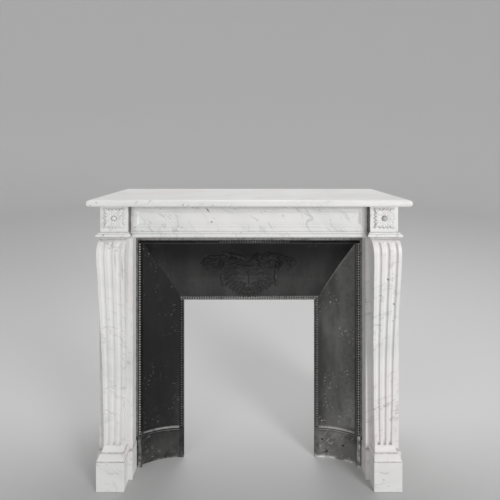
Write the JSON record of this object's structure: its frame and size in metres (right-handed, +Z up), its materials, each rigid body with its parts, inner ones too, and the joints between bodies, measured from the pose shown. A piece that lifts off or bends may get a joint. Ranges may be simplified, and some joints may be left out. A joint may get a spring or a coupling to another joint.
{
  "type": "fireplace mantel",
  "caption": "Carved marble fireplace mantel with fluted swelling legs, rosette blocks, a panelled frieze, a rounded shelf and a hollow cast-iron insert with beaded borders and a garland.",
  "frame": {"origin": "on the floor, at the centre of the shelf's outline seen from above", "axes": "+X along the front to the right as seen from the room, -Y out of the front into the room, +Z up; the wall is the plane of the shelf's rear edge"},
  "size_m": [1.205, 0.38, 1.098],
  "materials": {
    "marble": "worn polished white marble with thin grey veins",
    "cast_iron": "blackened cast iron with pale dust and mortar stains near the floor"
  },
  "bodies": {
    "root": {"shelf": "marble", "frieze": "marble", "corner_block_left": "marble", "corner_block_right": "marble", "leg_left": "marble", "leg_right": "marble", "plinth_left": "marble", "plinth_right": "marble", "jamb_left": "marble", "jamb_right": "marble", "jamb_plinth_left": "marble", "jamb_plinth_right": "marble", "side_return_left": "marble", "side_return_right": "marble", "insert_cheek_left": "cast_iron", "insert_cheek_right": "cast_iron", "insert_top_panel": "cast_iron"}
  },
  "joints": []
}
